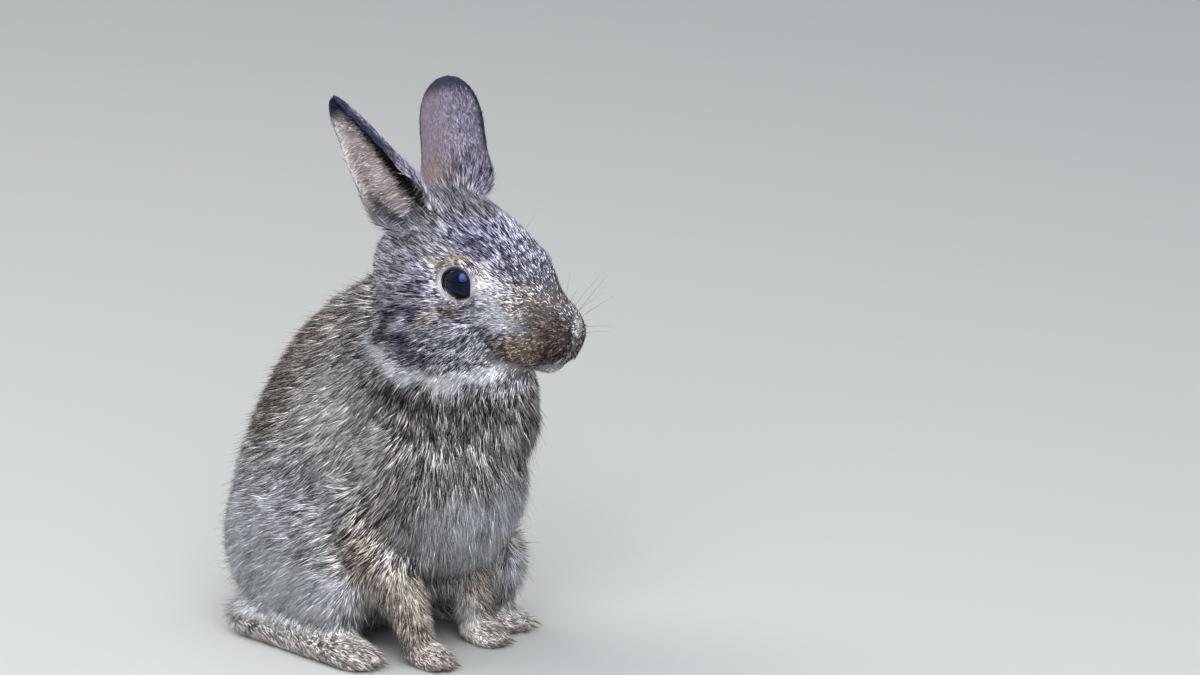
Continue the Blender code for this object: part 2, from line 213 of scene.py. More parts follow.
def joined(pieces):
    """Points and triangles of several surfaces, as one."""
    starts = np.cumsum([0] + [len(piece[0]) for piece in pieces[:-1]])
    triangles = [piece[1] + start for piece, start in zip(pieces, starts)]
    return np.vstack([piece[0] for piece in pieces]), np.vstack(triangles)


solids = {name: welded(name) for name in FLESH}
swollen = [(points + BRIDGE * normals, triangles) for points, triangles, normals in solids.values()]
for name in ("eye_left", "eye_right"):
    points, triangles, normals = welded(name)
    swollen.append((points + 2 * BRIDGE * normals, triangles))
points, triangles = remeshed(*joined(swollen), HIDE_VOXEL, 6)

# The face needs a finer net than the body: finest round the eyes, the nostrils and the mouth.
EYE_RADIUS = 5.2
EYE_MIDDLE = np.array((-0.8, 9.9, -0.3))  # the left one's, in the head's frame, mm
EYES = {"left": 1, "right": -1}
NOSE = np.array((25.0, 0.0, -11.0))


def eye_axes(side):
    """Three rows in the head's frame: towards the nose, up, and out of the head."""
    out = unit(np.array((0.22, side, 0.08)))
    forward = unit(np.array((1.0, 0.0, 0.0)) - out[0] * out)
    return np.stack([forward, side * np.cross(forward, out), out])


def from_eye(at_head, side):
    """Places about one eye's middle, in mm, along its axes."""
    return (at_head - EYE_MIDDLE * (1, side, 1)) @ eye_axes(side).T


for eye_reach, nose_reach in ((7.5, 8.5), (6.0, 7.0)):
    at_head = in_head(points)
    near = np.linalg.norm(at_head - NOSE, axis=1) < nose_reach
    for side in EYES.values():
        place = from_eye(at_head, side)
        near |= (np.hypot(place[:, 0], place[:, 1]) < eye_reach) & (place[:, 2] > 0)
    points, triangles = refined(points, triangles, near)

# Each point of the hide belongs to the part of the flesh that it lies nearest to.
flesh_points, flesh_triangles = joined([solids[name] for name in FLESH])
flesh_part = np.repeat(np.arange(len(FLESH)), [len(solids[name][1]) for name in FLESH])
tree = BVHTree.FromPolygons(flesh_points.tolist(), flesh_triangles.tolist())
part = flesh_part[[tree.find_nearest(point)[2] for point in points.tolist()]]

kind = np.array([name.rsplit("_", 1)[0] for name in FLESH])[part]
at_head = in_head(points)
cheek = (kind == "neck") & (at_head[:, 0] > -21) & (np.abs(at_head[:, 2] + 14) < 10.5)
kind[cheek] = "head"
kind[(kind == "foreleg") & (points[:, 2] > 25 * MM)] = "trunk"
depth = np.array([COAT[name][0] for name in kind])
depth = np.where(kind == "head", 0.35 + 0.75 * ramp(-at_head[:, 0], -18, 8), depth)
normals = normals_of(points, triangles)
sole = (points[:, 2] < 0.9 * MM) & (normals[:, 2] < -0.6)
depth = np.where(sole, 0.35, evened(depth, triangles, 60))
points = points - MM * depth[:, None] * evened(normals, triangles, 4)
points = evened(points, triangles, 2)
from_groin = (one_sided(points) - MM * GROIN) / GROIN_REACH
groin = 1 - ramp(np.linalg.norm(from_groin, axis=1) / MM, 0.5, 1.0)
points = blended(points, groin, evened(points, triangles, 40))
hide_count = len(points)

# --- Lids, nostrils and mouth --------------------------------------------------------------------
# The hide opens over each eyeball between two thin dark lids that ride on the ball. In front it is
# drawn in along the slit nostrils, the cleft of the lip and the closed mouth.

LID_LIFT = 0.5  # the lids' outer face stands this far off the ball, mm
OPENING = np.array((-0.75, -0.55))  # the opening's middle, behind and below the eye's axis, mm
LID_FADE = 3.4  # the lids change the hide this far out from the opening, mm
CORNEA = 0.22  # the cornea stands this far proud of the ball, mm
FACE_REACH = 40  # the face lies within this distance of the point between the eyes, mm
NOSTRIL = ((27.9, 0.5, -10.4), (27.6, 1.7, -9), (26.8, 3, -7.6))
CLEFT = ((28.2, 0, -10.2), (27.3, 0, -12.2), (25.4, 0, -14.2))
MOUTH = ((25.2, 0, -14.3), (22.6, 3, -14.9), (18.8, 5.4, -14.7), (15.5, 6.6, -13.6))


def turn_from(angle, middle):
    """The turn from the middle to each angle, between -pi and pi."""
    return np.angle(np.exp(1j * (angle - middle)))


def bell(values, width):
    """exp(-(value / width)^2)."""
    return np.exp(-((values / width) ** 2))


def opening_radius(angle):
    """Nearly round, a little taller than wide, with a corner low in front and a blunter one behind.
    The angle is from the side towards the nose."""
    round_part = 3.6 + 0.1 * np.sin(angle) ** 2
    front = 0.7 * bell(turn_from(angle, -0.62), 0.3)
    back = 0.25 * bell(turn_from(angle, 2.9), 0.35)
    return round_part + front + back


def past_lid(at_head):
    """How far a point lies outside the nearer eye's opening, in mm, measured across the eye's
    axis; its place along that eye's axes; and its angle round the opening."""
    side = np.where(at_head[:, 1] < 0, -1, 1)
    place = np.where(side[:, None] < 0, from_eye(at_head, -1), from_eye(at_head, 1))
    forward, upward = (place[:, :2] - OPENING).T
    angle = np.arctan2(upward, forward)
    gap = np.hypot(forward, upward) - opening_radius(angle)
    return np.where(place[:, 2] > 0, gap, 99.0), place, angle


def nearer_eye(at_head):
    """The middle of the eye on each point's side."""
    return np.where(at_head[:, 1:2] < 0, (1, -1, 1), (1, 1, 1)) * EYE_MIDDLE


def to_line(places, line):
    """The distance from each place to the nearest stretch of a line."""
    line = np.asarray(line, float)
    nearest = np.full(len(places), 1e9)
    for a, b in zip(line[:-1], line[1:]):
        t = np.clip((places - a) @ (b - a) / ((b - a) @ (b - a)), 0, 1)
        nearest = np.minimum(nearest, np.linalg.norm(places - a - t[:, None] * (b - a), axis=1))
    return nearest


at_head = in_head(points)
gap, place, _ = past_lid(at_head)
reach = np.linalg.norm(place, axis=1)
lid = EYE_RADIUS + LID_LIFT + 0.25 * np.clip(gap, 0, 4)
opened = EYE_RADIUS - 1.0 + (lid - EYE_RADIUS + 1.0) * ramp(gap, -0.15, 0.2)
wanted = opened + (reach - opened) * ramp(gap, 0.5, LID_FADE)
middle = nearer_eye(at_head)
pulled = middle + (at_head - middle) * (wanted / np.maximum(reach, 0.1))[:, None]
at_head = np.where(((gap < LID_FADE) & (reach > 2))[:, None], pulled, at_head)

mirrored = one_sided(at_head)
inward = -normals_of(points, triangles) @ HEAD_AXES
for line, sink, width in ((NOSTRIL, 1.1, 0.5), (CLEFT, 0.7, 0.45), (MOUTH, 0.9, 0.5)):
    hollow = bell(to_line(mirrored, line), width)
    at_head = at_head + sink * hollow[:, None] * inward
face = np.linalg.norm(in_head(points), axis=1) < FACE_REACH
points = np.where(face[:, None], from_head(at_head), points)


def ring_surface(rings, closed_path=False):
    """A surface through rows of rings; the last row joins the first when the path is closed."""
    rows, count = rings.shape[:2]
    row = np.arange(rows if closed_path else rows - 1)[:, None]
    column = np.arange(count)[None, :]
    a = row * count + column
    b = row * count + (column + 1) % count
    c = (row + 1) % rows * count + (column + 1) % count
    d = (row + 1) % rows * count + column
    quads = np.stack([a, b, c, d], -1).reshape(-1, 4)
    return rings.reshape(-1, 3), np.vstack([quads[:, [0, 1, 2]], quads[:, [0, 2, 3]]])


def outward(points, triangles):
    """The same closed surface, with its faces turned so that its volume is positive."""
    a, b, c = points[triangles].transpose(1, 0, 2)
    volume = np.einsum("ij,ij->i", a - points.mean(0), np.cross(b - a, c - a)).sum()
    return (points, triangles) if volume > 0 else (points, triangles[:, ::-1])


def out_of_eye(place, side):
    """The same places on the model."""
    return from_head(place @ eye_axes(side) + EYE_MIDDLE * (1, side, 1))


def lid_rim(side):
    """A rim round the opening: at each angle an ellipse 0.64 mm across and 0.6 mm thick, whose
    middle lies on a sphere just outside the ball."""
    angle = np.linspace(0, 2 * math.pi, 120, endpoint=False)
    spin = np.linspace(0, 2 * math.pi, 12, endpoint=False)[None, :, None]
    across = opening_radius(angle) + 0.15
    ball = EYE_RADIUS + CORNEA
    forward, upward = OPENING[:, None] + across * np.stack([np.cos(angle), np.sin(angle)])
    place = np.stack([forward, upward, np.sqrt(ball**2 - forward**2 - upward**2)], 1)
    out = unit(place)
    away = unit(np.stack([np.cos(angle), np.sin(angle), 0 * angle], 1))
    away = unit(away - np.einsum("ij,ij->i", away, out)[:, None] * out)
    radial = 0.32 * np.cos(spin) * away[:, None]
    thick = 0.3 * np.sin(spin) * out[:, None]
    rim, triangles = ring_surface(place[:, None] + radial + thick, closed_path=True)
    return outward(out_of_eye(rim, side), triangles)


lids = [lid_rim(side) for side in EYES.values()]

# --- Ears -----------------------------------------------------------------------------------------
# Each ear is a thin curled leaf of gristle and skin, rooted in the crown. It is a closed shell,
# thickest along its middle and thin at its rim, and it is part of the hide.

EAR_HALF_WIDTH = 9.9
EAR_SKIN = 0.75  # mm thick, inside a coat of 0.35 mm on either side
EARS = {
    # side: base, tip, the way the hollow faces and the half turn, each at the base and at the tip,
    # then how blunt the tip is and how far its rear edge is drawn in
    "right": (
        (-12.0, -7.4, 9.0), (-42.5, -11.5, 36.5),
        ((-0.1, -1.0, 0.15), (-0.65, -0.78, 0.1)), (110, 78), (2.0, 0.22),
    ),
    "left": (
        (-11.0, 4.6, 9.4), (-32.6, 28.0, 37.0),
        ((-0.46, 0.88, -0.2), (-0.46, 0.88, -0.2)), (118, 45), (2.4, 0.0),
    ),
}
EAR_ROWS, EAR_COLUMNS = 64, 34


def ear_half_width(u, blunt):
    """Half width round the curve: a tip (1 - t^blunt)^(1/blunt), a flare low down and a narrow
    root."""
    tip = np.clip(1 - (np.clip(u - 0.55, 0, 1) / 0.455) ** blunt, 0, 1) ** (1 / blunt)
    flare = 1 + 0.3 * bell(u - 0.3, 0.2)
    root = 1 - 0.6 * np.clip(1 - u / 0.22, 0, 1) ** 1.5
    return EAR_HALF_WIDTH * tip * flare * root


def ear_sheet(side, base, tip, facing, half_turn, ending, u, v):
    """The middle of the leaf at u along and v across, from -1 to 1: a point on an arc of that half
    width, laid across the ear and bent back a little along it."""
    base = np.asarray(base, float)
    along = np.asarray(tip, float) - base
    length = np.linalg.norm(along)
    along /= length
    out = np.asarray(facing[0], float) * (1 - u) + np.asarray(facing[1], float) * u
    out = unit(out - (out @ along)[:, None] * along)
    across = np.cross(along, out) * side
    swing = np.radians(half_turn[0] + (half_turn[1] - half_turn[0]) * u**0.7)
    radius = ear_half_width(u, ending[0]) / swing
    v = v * (1 - ending[1] * ramp(u, 0.5, 0.85) * ramp(v, 0, 1))
    v = v * (1 - 0.45 * (1 - ramp(u, 0.08, 0.42)) * ramp(-v, 0, 1))
    arch = 2.2 * np.sin(math.pi * u) * (1 - 0.3 * u)
    hollow = radius * (1 - np.cos(v * swing)) - arch
    spread = radius * np.sin(v * swing)
    place = base + along * (u * length + 0 * v)[..., None]
    return place + out[:, None] * hollow[..., None] + across[:, None] * spread[..., None]


def with_ends(rings, near, far):
    """A surface through rows of rings, closed by a point beyond the first row and the last."""
    points, triangles = ring_surface(rings)
    rows, count = rings.shape[:2]
    ring = np.arange(count)
    onward = (ring + 1) % count
    end = np.full(count, len(points))
    to_last = (rows - 1) * count
    first = np.stack([onward, ring, end], 1)
    last = np.stack([ring + to_last, onward + to_last, end + 1], 1)
    return np.vstack([points, near, far]), np.vstack([triangles, first, last])


def ear_hide(name):
    """The leaf's two faces and what they carry: points, triangles, then for each point how far
    along and across the ear it is, whether it is inside the hollow, and the way to the tip."""
    side = EYES[name]
    u = np.linspace(0.06, 0.992, EAR_ROWS)[:, None]
    v = np.sin(np.linspace(-1, 1, EAR_COLUMNS) * math.pi / 2)[None, :]
    sheet = ear_sheet(side, *EARS[name], u, v)
    step_u = np.gradient(sheet, axis=0)
    step_v = np.gradient(sheet, axis=1)
    face = -side * unit(np.cross(step_u, step_v))
    half = 0.5 * EAR_SKIN * np.sqrt(np.clip(1 - np.abs(v) ** 6, 0, 1))
    half = half * np.sqrt(np.clip(1 - u**12, 0.02, 1))
    back = sheet - face * half[..., None]
    front = (sheet + face * half[..., None])[:, -2:0:-1]
    rings = np.concatenate([back, front], 1)
    rows, count = rings.shape[:2]
    points, triangles = with_ends(rings, rings[0].mean(0), rings[-1].mean(0))
    v_ring = np.concatenate([v[0], v[0, -2:0:-1]])
    along = np.append(np.repeat(u[:, 0], count), (0.0, 1.0))
    across = np.append(np.tile(v_ring, rows), (0.0, 0.0))
    inside = np.append(np.tile(np.arange(count) >= EAR_COLUMNS, rows), (False, False))
    upright = [(0, 0, 1), (0, 0, 1)]
    tipward = unit(np.vstack([np.gradient(rings, axis=0).reshape(-1, 3), upright]))
    step_in = np.concatenate([step_v, step_v[:, -2:0:-1]], 1).reshape(-1, 3)
    inwards = np.where(across > 0, -1, 1)[:, None] * np.vstack([step_in, upright])
    points, triangles = outward(from_head(points), triangles)
    return points, triangles, along, across, inside, tipward @ HEAD_AXES.T, unit(inwards) @ HEAD_AXES.T


ears = {name: ear_hide(name) for name in EARS}

# --- Lie of the coat ------------------------------------------------------------------------------
# Hair grows back from the nose over the face, down and back over the body, down the legs, forward
# over the feet, and from root to tip up the ears. It parts round the eyes.

TAIL_MIDDLE = np.array((-43.0, -0.4, 13.0))  # the scut's hair grows out from here, mm
FACE_START = np.array((30.0, 0.0, -6.5))  # and the face's hair from here, in the head's frame

lie = np.array([COAT[name][2] for name in kind])
lie[:, 1] *= np.clip(points[:, 1] / (12 * MM), -1, 1)
chest = ramp(points[:, 0], 12 * MM, 30 * MM) * (kind != "head") * (points[:, 2] > 20 * MM)
lie = blended(lie, chest, (-0.05, 0.0, -1.0))
haunch = (kind == "hindleg") * ramp(-points[:, 2], -34 * MM, -8 * MM)
lie = blended(lie, haunch, (-0.62, 0.0, -0.85))
lie = np.where((kind == "tail")[:, None], unit(points - TAIL_MIDDLE * MM) + lie, lie)

at_head = in_head(points)
gap, place, _ = past_lid(at_head)
away = at_head - FACE_START
drop = 14.0 * ramp(-at_head[:, 2], 2, 12) * ramp(-at_head[:, 0], -18, -4)
away[:, 2] -= drop
away = unit(away)
look = np.where(at_head[:, 1:2] < 0, -1, 1) * np.array((0, 1.0, 0)) + np.array((0.22, 0, 0.08))
look = unit(look)
off_axis = at_head - nearer_eye(at_head)
off_axis = unit(off_axis - np.einsum("ij,ij->i", off_axis, look)[:, None] * look)
into = np.minimum(np.einsum("ij,ij->i", away, off_axis), 0)
close = 1 - ramp(gap, 0.5, 5.5)
away = away - (1.3 * into * close)[:, None] * off_axis + (0.1 * close)[:, None] * off_axis
lie = np.where((kind == "head")[:, None], unit(away) @ HEAD_AXES.T, unit(lie))
at_ear = np.zeros(len(points))
for base, tip, _, _, _ in EARS.values():
    base, tip = np.array(base), np.array(tip)
    beside = to_line(at_head, (base + 0.15 * (tip - base), base + 0.42 * (tip - base)))
    close = (1 - ramp(beside, 5.5, 10.5)) * (kind == "head")
    lie = blended(lie, close, unit(tip - base) @ HEAD_AXES.T)
    at_ear = np.maximum(at_ear, close)
lie = evened(lie, triangles, 24)

length = np.array([COAT[name][1] for name in kind])
face_length = (1.5 + 2.2 * ramp(-at_head[:, 0], -24, 12)) * (0.35 + 0.65 * ramp(gap, 0.3, 5))
length = np.where(kind == "head", face_length + 2.2 * at_ear, length)
length = length + 2.2 * chest * (kind == "trunk")
length = evened(length, triangles, 40)
depth = depth * (0.4 + 0.6 * ramp(gap, 0.5, 4)) + 0.9 * evened(at_ear, triangles, 10)

# The hide, the lids and the ears become one surface, with the same fields on every point.
ear_fields = [np.concatenate(field) for field in list(zip(*ears.values()))[2:]]
ear_along, ear_across, ear_inside, tipward, inwards = ear_fields
lid_count, ear_count = sum(len(lid[0]) for lid in lids), len(ear_along)
points, triangles = joined([(points, triangles), *lids, *[ear[:2] for ear in ears.values()]])
kind = np.concatenate([kind, np.full(lid_count, "lid"), np.full(ear_count, "ear")])
ear_lie = np.where(ear_inside[:, None], unit(inwards - 0.3 * tipward), tipward)
lie = np.vstack([lie, np.zeros((lid_count, 3)), ear_lie])
low_on_ear = 1 - ramp(ear_along, 0.1, 0.5)
ear_depth = 0.35 + 0.8 * low_on_ear + 0.5 * ear_inside
depth = np.concatenate([depth, np.zeros(lid_count), ear_depth])
short = 1 - 0.6 * ramp(ear_along, 0.82, 0.97)
ear_length = (1.9 + 2.2 * low_on_ear) * short * (1 + 0.3 * ear_inside)
length = np.concatenate([length, np.zeros(lid_count), ear_length])
no_ear = np.zeros(hide_count + lid_count)
ear_along, ear_across = np.append(no_ear, ear_along), np.append(no_ear, ear_across)
ear_inside = np.append(no_ear > 0, ear_inside)
normals = normals_of(points, triangles)

# --- Markings -------------------------------------------------------------------------------------
# A grizzled grey-brown coat, browner along the back, paler on the rump and lower flank and white
# below. The face has a pale ring round the eye, a brown muzzle and a whitish band under the cheek.

GROUND = {
    "head": (0.27, 0.265, 0.3),
    "neck": (0.31, 0.285, 0.272),
    "trunk": (0.31, 0.287, 0.272),
    "tail": (0.4, 0.38, 0.36),
    "hindleg": (0.68, 0.68, 0.72),
    "hindfoot": (0.5, 0.46, 0.43),
    "foreleg": (0.52, 0.45, 0.39),
    "forepaw": (0.42, 0.37, 0.34),
    "ear": (0.16, 0.14, 0.165),
    "lid": (0.012, 0.01, 0.012),
}
DARKEST, PALEST = 0.004, 0.95  # the limits of any colour of the skin or coat
ground = evened(np.array([GROUND[name] for name in kind]), triangles, 60)
head_share = evened((kind == "head").astype(float), triangles, 10)

# Middle, radii and colour, and how strong the mark is. Middles are in the head's frame, in mm, and
# stand for both sides.
FACE_MARKS = (
    ((3.7, 7, 10.5), (10, 8, 6), (0.145, 0.143, 0.2), 0.9),  # forehead
    ((-6, 9.5, 11.5), (4.5, 4, 4), (0.22, 0.225, 0.27), 0.7),  # before the ear
    ((-5.5, 0, 17), (9.5, 9.5, 6.5), (0.095, 0.09, 0.105), 0.9),  # crown
    ((14, 3, 5.5), (9, 7, 6), (0.175, 0.17, 0.215), 0.85),  # bridge
    ((-9.5, 14, 1), (6, 5, 5), (0.2, 0.2, 0.245), 0.7),  # behind the eye
    ((3, 15.5, -13), (7, 6, 4.5), (0.3, 0.3, 0.345), 0.7),  # cheek
    ((7, 12.4, 0.6), (3.4, 3.6, 4), (0.6, 0.56, 0.55), 0.9),  # pale before the eye
    ((10, 11, -4), (5.5, 5, 5.6), (0.72, 0.7, 0.74), 0.9),  # side of the muzzle
    ((13, 11, -8), (4.5, 4.5, 4), (0.68, 0.68, 0.74), 0.85),  # and below it
    ((16.5, 7.8, -2.5), (6.5, 5, 5), (0.33, 0.29, 0.255), 0.7),  # buff towards the nose
    ((20.6, 6.4, -5.4), (4.2, 4.4, 4.6), (0.17, 0.135, 0.112), 0.85),  # brown above the patch
    ((17.8, 8.8, -14.6), (6.8, 6.5, 5.4), (0.33, 0.265, 0.205), 0.95),  # pad of the lip
    ((24.8, 6, -10), (4.6, 5.8, 7.2), (0.07, 0.046, 0.037), 1),  # brown patch by the nose
    ((22, 1.5, -1.5), (4.5, 3, 3.4), (0.2, 0.165, 0.15), 0.8),  # top of the nose
    ((28.8, 0, -6), (2.6, 1.7, 6), (0.8, 0.76, 0.78), 0.95),  # pale front of the nose
    ((17, 0, -20), (8, 8.5, 2.2), (0.62, 0.62, 0.6), 0.85),  # chin
    ((23, 1, -18.6), (4.5, 5, 2.4), (0.72, 0.71, 0.72), 0.9),  # lower lip
    ((3, 10, 7.6), (4.4, 2.8, 2.6), (0.105, 0.1, 0.145), 0.75),  # dark above the brow
    ((5.4, 12.6, -6), (3.2, 3, 1.8), (0.58, 0.6, 0.68), 0.8),  # pale below the front corner
    ((3.4, 13.2, -5), (1.8, 3, 1.3), (0.06, 0.055, 0.08), 0.95),  # smudge under the corner
    ((0, 14.8, -6.9), (5.2, 3.4, 2.3), (0.08, 0.064, 0.068), 0.9),  # brown under the eye
    ((-4.4, 17, -8.8), (2.4, 3, 2.4), (0.46, 0.41, 0.38), 0.7),  # buff behind that
    ((-8, 15.4, -4), (5, 3, 1.5), (0.1, 0.1, 0.14), 0.8),  # streak behind the eye
    ((-7.8, 17.2, -9), (1.6, 3, 3), (0.05, 0.05, 0.1), 1),  # dark streaks on the cheek
    ((-10.4, 17.6, -11.4), (1.5, 3, 3.2), (0.6, 0.6, 0.72), 0.85),
    ((-12.8, 17.2, -8.6), (1.8, 3, 3.6), (0.05, 0.05, 0.075), 0.95),
    ((-15.5, 17, -13.5), (2.8, 4, 4.8), (0.05, 0.048, 0.065), 0.95),
    ((-10, 19.4, -15.8), (2.8, 3.5, 3), (0.045, 0.045, 0.075), 0.95),
    ((-5, 20, -18.6), (6.5, 5, 1.9), (0.085, 0.085, 0.105), 0.9),  # over the pale band
    ((4.5, 16, -19), (6.5, 6, 1.6), (0.12, 0.12, 0.14), 0.75),
    # These two marks, under the pale band, are partly the neck's own dark fur and partly painted shade
    # under the cheek's ruff.
    ((-9, 21, -29), (10, 8, 3.8), (0.055, 0.048, 0.048), 0.85),  # under the pale band
    ((6, 13, -29.5), (8, 9, 3.4), (0.095, 0.088, 0.085), 0.7),
)
# Narrow marks: a line, its half width, colour and strength.
FACE_LINES = (
    (((-6.4, 13.6, 2.6), (-4.6, 13.2, 4.6), (-2.2, 12.8, 5.9), (1.4, 12.6, 5.7)), 1.2,
     (0.58, 0.46, 0.33), 0.9),
    (((-8.2, 13.5, 3), (-6.6, 12.4, 6.4), (-3, 11.6, 8.2)), 1.3, (0.74, 0.74, 0.82), 0.9),
    (((1.2, 12, 6.9), (3, 13, 4.3)), 0.7, (0.02, 0.02, 0.03), 1),
)
CHEEK_BAND = (
    (-20, 17.5, -17.6), (-13.5, 20.5, -21.4), (-8, 21.5, -23.2), (0, 20, -23.2),
    (6.5, 15, -22.4), (10, 8.5, -21.4), (11.5, 0, -20.8),
)
# Middle, radii, colour and strength; middles are in the body's frame, in mm, for both sides.
BODY_MARKS = (
    ((-24, 0, 62), (27, 24, 32), (0.155, 0.132, 0.11), 0.9),  # back
    ((6, 22, 60), (15, 10, 18), (0.66, 0.63, 0.62), 0.85),  # shoulder
    ((-6, 27, 44), (20, 9, 12), (0.5, 0.5, 0.53), 0.8),  # flank
    ((-36, 16, 30), (16, 18, 20), (0.64, 0.655, 0.71), 0.7),  # rump
    ((2, 26, 33), (8, 9, 9), (0.5, 0.49, 0.5), 0.8),  # front of the haunch
    ((-18, 28, 17), (22, 9, 10), (0.84, 0.86, 0.89), 0.8),  # lower haunch
    ((5, 10.5, 89.5), (7, 6.5, 4.5), (0.11, 0.1, 0.1), 0.9),  # nape, beside the middle
    ((14, 27, 30), (8, 8, 9), (0.4, 0.33, 0.27), 0.7),  # buff on the shoulder
    ((36, 0, 52), (14, 22, 16), (0.31, 0.3, 0.315), 0.7),  # chest
    ((34, 0, 35), (16, 24, 14), (0.78, 0.79, 0.84), 0.9),  # lower chest
    ((2, 0, 8), (30, 16, 12), (0.72, 0.7, 0.68), 0.9),  # belly
    ((-48, 0, 20), (9, 9, 4), (0.3, 0.26, 0.225), 0.8),  # top of the scut
    ((-44, 0, 7), (10, 9, 6), (0.85, 0.84, 0.82), 0.9),  # its underside
)


def marked(colour, places, marks, share):
    """Lays each mark over the colour: full inside 0.6 of its egg, gone at 1.3 of it."""
    for middle, radii, tint, strength in marks:
        from_middle = np.linalg.norm((places - middle) / radii, axis=1)
        colour = blended(colour, share * strength * (1 - ramp(from_middle, 0.6, 1.3)), tint)
    return colour


def wander(places, wavelength):
    """A smooth value from -1 to 1 that changes over that length: a sum of six sines."""
    value = np.zeros(len(places))
    for row in np.random.default_rng(7).normal(size=(6, 4)):
        direction = row[:3] / np.linalg.norm(row[:3])
        value += np.sin(2 * math.pi * (places @ direction) / wavelength + 9 * row[3])
    return value / 3.5


def markings(points, colour, share):
    """The coat's colour at those points, from the ground colour there and the share of head."""
    colour = marked(colour, one_sided(points / MM), BODY_MARKS, 1 - share)
    at_head = in_head(points)
    sided = one_sided(at_head)
    near_head = 1 - ramp(np.linalg.norm((at_head - (0, 0, -8)) / (40, 34, 34), axis=1), 0.9, 1.1)
    wobble = 1.2 * wander(at_head, 7.0)[:, None]
    colour = marked(colour, sided + wobble, FACE_MARKS, near_head)
    for line, reach, tint, strength in FACE_LINES:
        colour = blended(colour, strength * bell(to_line(sided, line), reach), tint)
    ring_gap, _, angle = past_lid(at_head)
    colour = blended(colour, 1 - ramp(ring_gap, 0.5, 1.0), (0.12, 0.10, 0.10))
    for middle, spread, strength in ((-0.1, 0.75, 0.85), (3.4, 0.75, 1.0), (-1.5, 0.9, 0.5)):
        off = turn_from(angle, middle)
        ring = strength * np.exp(-((off / spread) ** 2) - ((ring_gap - 0.7) / 1.1) ** 2)
        colour = blended(colour, ring, (0.66, 0.60, 0.64))
    near_band = to_line(sided + wobble, CHEEK_BAND)
    width = 2.4 - 0.7 * ramp(np.abs(at_head[:, 0] + 2), 5, 16)
    band = (1 - ramp(near_band, 0.7 * width, 1.2 * width)) * (1 - 0.35 * ramp(at_head[:, 0], 2, 8))
    colour = blended(colour, band, (0.92, 0.92, 0.98))
    mottle = 1 + 0.16 * wander(points / MM, 9.0) + 0.16 * wander(points / MM, 2.9)
    return colour * mottle[:, None]


def ear_markings(along, across, inside):
    """Behind: smooth taupe at the back, dark and grizzled in front, with a navy rim. Inside: a pale
    wall at the back, then a band painted near black as shade in the deep hollow, which also darkens
    the hollow at the base, then a grizzled edge. Also how grizzled each place is."""
    edge = np.where(across < 0, ramp(-across, 0.66, 0.9), ramp(across, 0.85, 0.97) * ~inside)
    rim = np.clip(edge * ramp(along, 0.3, 0.6) + ramp(along, 0.82, 0.94), 0, 1)
    front = 1 - ramp(across, -0.3, 0.5)
    warm = ramp(across, -0.2, 0.4) * (1 - ramp(along, 0.2, 0.6))
    behind = np.array((0.14, 0.115, 0.145)) + np.outer(front, (-0.01, 0.0, 0.01))
    behind = behind + np.outer(warm, (0.03, 0.015, -0.02))
    # Painted shade: the deep hollow inside the ear, between the pale wall and the grizzled edge, and the
    # hollow at its base are painted near black.
    hollow_shade = np.maximum(1 - ramp(across, 0.16, 0.28), 1 - ramp(along, 0.1, 0.2))
    grizzle = (1 - ramp(across, -0.56, -0.34)) * (1 - ramp(along, 0.7, 0.95))
    within = np.outer(1 - 0.98 * hollow_shade * (1 - grizzle), (0.44, 0.385, 0.38))
    within = blended(within, grizzle, (0.15, 0.135, 0.135))
    fringe = ramp(across, 0.5, 0.85) * (1 - ramp(along, 0.28, 0.5))
    within = blended(within, fringe, (0.11, 0.105, 0.125))
    colour = np.where(inside[:, None], within, behind)
    grizzled = np.where(inside, 0.45 + 0.55 * grizzle, 0.25 + 0.75 * front)
    root = (1 - ramp(along, 0.1, 0.28)) * np.where(inside, ramp(across, 0.2, 0.5), 1.0)
    colour = blended(colour, root, (0.21, 0.205, 0.235))
    return blended(colour, rim, (0.011, 0.013, 0.034)), grizzled + root * (1 - grizzled)


skin_colour = markings(points, ground, head_share)
is_ear = kind == "ear"
skin_colour[is_ear] = ear_markings(ear_along, ear_across, ear_inside)[0][is_ear]
skin_colour[kind == "lid"] = GROUND["lid"]
sided = one_sided(in_head(points))
to_mouth = np.minimum(to_line(sided, CLEFT), to_line(sided, MOUTH))
# Painted shade: the nostril slits and the line of the mouth are painted near black along their creases.
slit = bell(to_line(sided, NOSTRIL), 0.6) + 0.8 * bell(to_mouth, 0.5)
slit = np.clip(slit, 0, 1) * (kind == "head")
skin_colour = np.clip(blended(skin_colour, slit, (0.03, 0.018, 0.016)), DARKEST, PALEST)


def paint_layer(mesh, name, colours):
    """A colour on each point."""
    layer = mesh.color_attributes.new(name, "FLOAT_COLOR", "POINT")
    with_alpha = np.column_stack([colours, np.ones(len(colours))]).astype(np.float32)
    layer.data.foreach_set("color", with_alpha.ravel())


def add_piece(name, mesh, material, nodes=()):
    """Adds the piece to the scene, on the model's one body, in place of those solids."""
    obj = placed(name, mesh)
    mesh.materials.append(material)
    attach(obj, "root")
    if nodes:
        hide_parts(*nodes)
    return obj


def new_material(name, roughness, specular):
    """An empty material with its shader and the tools to fill it."""
    material = bpy.data.materials.new(name)
    material.use_nodes = True
    shader = material.node_tree.nodes["Principled BSDF"]
    shader.inputs["Roughness"].default_value = roughness
    shader.inputs["Specular IOR Level"].default_value = specular
    return material, material.node_tree.nodes, material.node_tree.links, shader


def layer_node(nodes, name):
    """Reads a layer of the mesh."""
    node = nodes.new("ShaderNodeAttribute")
    node.attribute_name = name
    return node


